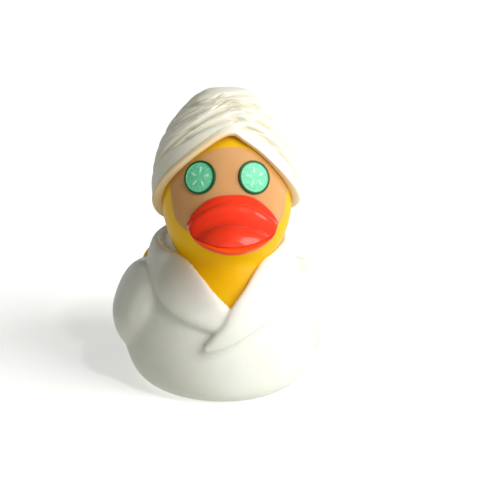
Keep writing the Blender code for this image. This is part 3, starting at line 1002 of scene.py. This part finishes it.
def bill_enamel(name, deep, bright, coat):
    """Orange-red gloss enamel, brushed on thick enough to flow out smooth, with small clear highlights."""
    material, shader, where = finish_of(
        name,
        IOR=1.5,
        Specular_IOR_Level=0.12,
        Coat_Weight=coat,
        Coat_Roughness=0.05,
        Subsurface_Weight=0.1,
        Subsurface_Scale=1.5 * MM,
    )
    pooled = {"Vector": where, "Scale": 1 / ENAMEL_PATCH, "Detail": 2.0}
    patch = node(material, "ShaderNodeTexNoise", pooled)
    reds = {FACTOR: patch.outputs["Fac"], FIRST: colour(deep), SECOND: colour(bright)}
    enamel = node(material, "ShaderNodeMix", reds, data_type="RGBA").outputs[MIXED]
    dulls = {"Value": patch.outputs["Fac"], **NOISE_SPAN, "To Min": 0.34, "To Max": 0.28}
    gloss = node(material, "ShaderNodeMapRange", dulls).outputs["Result"]
    flowed = {"Vector": where, "Scale": 1 / ENAMEL_RIPPLE, "Detail": 2.0}
    ripple = node(material, "ShaderNodeTexNoise", flowed)
    surface_of(material, shader, enamel, gloss, ripple.outputs["Fac"], depth=0.03)
    return material


# Width in mm of the flesh's mottles, the noise over which they pass from dark to pale, and where the
# flesh turns to peel, as shares of the slice's radius
MOTTLE = 0.7
MOTTLE_SPAN = {"From Min": 0.35, "From Max": 0.65}
PEEL_EDGE = (0.83, 0.89)


def cucumber_paint():
    """Enamel dabbed on in two greens, so the flesh looks wet and mottled inside its dark peel."""
    material, shader, where = finish_of("cucumber_green_enamel", IOR=1.5, Specular_IOR_Level=0.3)
    dabs = node(material, "ShaderNodeTexNoise", {"Vector": where, "Scale": 1 / MOTTLE, "Detail": 3.0})
    spread = {"Value": dabs.outputs["Fac"], **MOTTLE_SPAN}
    mottled = node(material, "ShaderNodeMapRange", spread, interpolation_type="SMOOTHSTEP").outputs["Result"]
    greens = {FACTOR: mottled, FIRST: colour("#62cf9e"), SECOND: colour("#7cdfb2")}
    flesh = node(material, "ShaderNodeMix", greens, data_type="RGBA").outputs[MIXED]
    out = node(material, "ShaderNodeAttribute", {}, attribute_name="from_middle").outputs["Fac"]
    low, high = PEEL_EDGE
    rim = {"Value": out, "From Min": low, "From Max": high}
    peeled = node(material, "ShaderNodeMapRange", rim, interpolation_type="SMOOTHSTEP").outputs["Result"]
    skin = {FACTOR: peeled, FIRST: flesh, SECOND: colour("#0c4d26")}
    shown = node(material, "ShaderNodeMix", skin, data_type="RGBA").outputs[MIXED]
    dulls = {"Value": dabs.outputs["Fac"], **NOISE_SPAN, "To Min": 0.3, "To Max": 0.42}
    gloss = node(material, "ShaderNodeMapRange", dulls).outputs["Result"]
    surface_of(material, shader, shown, gloss, dabs.outputs["Fac"], depth=0.015)
    return material


def seed_paint():
    """Pale mint enamel on the raised seeds, glossy and a little uneven, so that each catches the light."""
    material, shader, where = finish_of("seed_mint_enamel", IOR=1.5, Specular_IOR_Level=0.4)
    dabs = node(material, "ShaderNodeTexNoise", {"Vector": where, "Scale": 1 / MOTTLE, "Detail": 2.0})
    mints = {FACTOR: dabs.outputs["Fac"], FIRST: colour("#93e4bf"), SECOND: colour("#c2f7df")}
    mint = node(material, "ShaderNodeMix", mints, data_type="RGBA").outputs[MIXED]
    dulls = {"Value": dabs.outputs["Fac"], **NOISE_SPAN, "To Min": 0.25, "To Max": 0.35}
    gloss = node(material, "ShaderNodeMapRange", dulls).outputs["Result"]
    surface_of(material, shader, mint, gloss, dabs.outputs["Fac"], depth=0.02)
    return material


def put(piece, material):
    """Places a finished piece in the part's frame, where it stands for the plain moulding."""
    piece.data.transform(Matrix.Scale(MM, 4) @ Matrix.Translation((0.0, SHIFT, 0.0)))
    piece.data.materials.clear()
    piece.data.materials.append(material)
    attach(piece, "root")
    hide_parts("duck")


def duck():
    """All the pieces, each with what its paint has to know of the others noted on it."""
    skin = fused("skin", [neck_form(), head_form()], grain=0.45, smoothing=130)
    gown = robe()
    towel = turban()
    note_distance(gown, skin, "to_skin")
    note_distance(towel, skin, "to_skin")
    note_folds(towel)
    note_face(skin)
    note_distance(skin, towel, "to_towel")
    rump = tail()
    note_face(rump)
    note_distance(rump, towel, "to_towel")
    vinyl = yellow_vinyl()
    put(skin, vinyl)
    put(rump, vinyl)
    put(gown, white_paint("robe_white_acrylic", "#ebece2", "#f3f4ee", hem=False))
    put(towel, white_paint("towel_white_acrylic", "#f2eede", "#f8f5e8", hem=True))
    upper = bill_half("upper_bill", UPPER_BILL, UPPER_CORNER, UPPER_BILL_ROOT, UPPER_BILL_TIP)
    lower = bill_half("lower_bill", LOWER_BILL, LOWER_CORNER, LOWER_BILL_ROOT, LOWER_BILL_TIP)
    put(upper, bill_enamel("bill_red_enamel", "#f6311a", "#fd4422", coat=0.55))
    put(lower, bill_enamel("lip_orange_enamel", "#f84812", "#fd5a16", coat=0.1))
    cucumber = cucumber_paint()
    mint = seed_paint()
    for side, hand in ((-1, "right"), (1, "left")):
        put(cucumber_slice(hand + "_slice", side), cucumber)
        put(seeds(hand + "_seeds", side), mint)


# Studio

# The photograph's view: what the camera looks at, how far away it is, how far round from the front and above
# level, its angle of view, and its shift
CAMERA_TARGET = Vector((0.0, 1.75, 46.0)) * MM
CAMERA_AWAY = 400.0 * MM
CAMERA_TURN = -4.0
CAMERA_RISE = 15.0
CAMERA_VIEW = 22.6
CAMERA_SHIFT = (0.058, -0.028)

# The floor's size in metres, how far out it is level, and how steeply it then sweeps up into a backdrop
FLOOR_SIZE = 8.0
FLOOR_LEVEL = 1.5
FLOOR_RISE = 0.12

# Width in mm of the cloudy patches in the paper
PAPER_CLOUD = 40.0

# The room's tint, the direction in which it is brightest, and how bright it is opposite that and there
ROOM_TINT = (0.99, 1.0, 0.89, 1.0)
ROOM_BRIGHT = (0.5, -0.6, -0.6)
ROOM_STRENGTH = (0.0, 0.72)


def towards(turn, rise):
    """The direction at this angle round from the front and this angle above level."""
    turn = math.radians(turn)
    rise = math.radians(rise)
    return Vector((math.sin(turn) * math.cos(rise), -math.cos(turn) * math.cos(rise), math.sin(rise)))


def camera():
    """The camera, turned to its target."""
    data = bpy.data.cameras.new("camera")
    made = bpy.data.objects.new("camera", data)
    bpy.context.collection.objects.link(made)
    back = towards(CAMERA_TURN, CAMERA_RISE)
    made.location = CAMERA_TARGET + back * CAMERA_AWAY
    made.rotation_euler = back.to_track_quat("Z", "Y").to_euler()
    data.angle = math.radians(CAMERA_VIEW)
    data.shift_x, data.shift_y = CAMERA_SHIFT
    data.clip_start = 0.01
    bpy.context.scene.camera = made


def lamp(name, kind, turn, rise, away, **settings):
    """A light at these angles round from the front and above level, turned to the duck."""
    data = bpy.data.lights.new(name, kind)
    for setting, value in settings.items():
        setattr(data, setting, value)
    made = bpy.data.objects.new(name, data)
    bpy.context.collection.objects.link(made)
    out = towards(turn, rise)
    made.location = CAMERA_TARGET + out * away
    made.rotation_euler = out.to_track_quat("Z", "Y").to_euler()


def studio():
    """A pale floor under a broad light from the duck's left, with a small one that gives the highlights,
    a weak one behind, and a weak fill from the room."""
    bpy.ops.object.select_all(action="DESELECT")
    bpy.ops.mesh.primitive_grid_add(x_subdivisions=64, y_subdivisions=64, size=FLOOR_SIZE)
    floor = bpy.context.object
    floor.name = "floor"
    for vertex in floor.data.vertices:
        vertex.co.z = FLOOR_RISE * max(vertex.co.length - FLOOR_LEVEL, 0.0) ** 2
    face_out(floor)
    material, shader, where = finish_of("matt_white_paper", Roughness=0.9, Emission_Strength=0.45)
    cloud = node(material, "ShaderNodeTexNoise", {"Vector": where, "Scale": 1 / PAPER_CLOUD, "Detail": 2.0})
    whites = {FACTOR: cloud.outputs["Fac"], FIRST: colour("#f4f4f4"), SECOND: colour("#f8f8f8")}
    paper = node(material, "ShaderNodeMix", whites, data_type="RGBA").outputs[MIXED]
    material.node_tree.links.new(paper, shader.inputs["Base Color"])
    floor.data.materials.append(material)
    floor.visible_diffuse = False
    floor.visible_shadow = False
    lamp("key", "SUN", turn=56.0, rise=28.0, away=2.0, energy=2.6, angle=math.radians(45.0))
    lamp("window", "AREA", turn=28.0, rise=50.0, away=0.6, energy=0.55, size=0.04, shape="SQUARE")
    lamp("back", "SUN", turn=165.0, rise=6.0, away=2.0, energy=0.6, angle=math.radians(60.0))
    room = bpy.data.worlds.new("room")
    room.use_nodes = True
    backdrop = room.node_tree.nodes["Background"]
    backdrop.inputs["Color"].default_value = ROOM_TINT
    looking = node(room, "ShaderNodeTexCoord", {}).outputs["Generated"]
    facing = {0: looking, 1: ROOM_BRIGHT}
    near = node(room, "ShaderNodeVectorMath", facing, operation="DOT_PRODUCT").outputs["Value"]
    dim, bright = ROOM_STRENGTH
    fades = {"Value": near, "From Min": -1.0, "From Max": 1.0, "To Min": dim, "To Max": bright}
    strength = node(room, "ShaderNodeMapRange", fades).outputs["Result"]
    room.node_tree.links.new(strength, backdrop.inputs["Strength"])
    bpy.context.scene.world = room
    bpy.context.scene.view_settings.view_transform = "Standard"


duck()
camera()
studio()
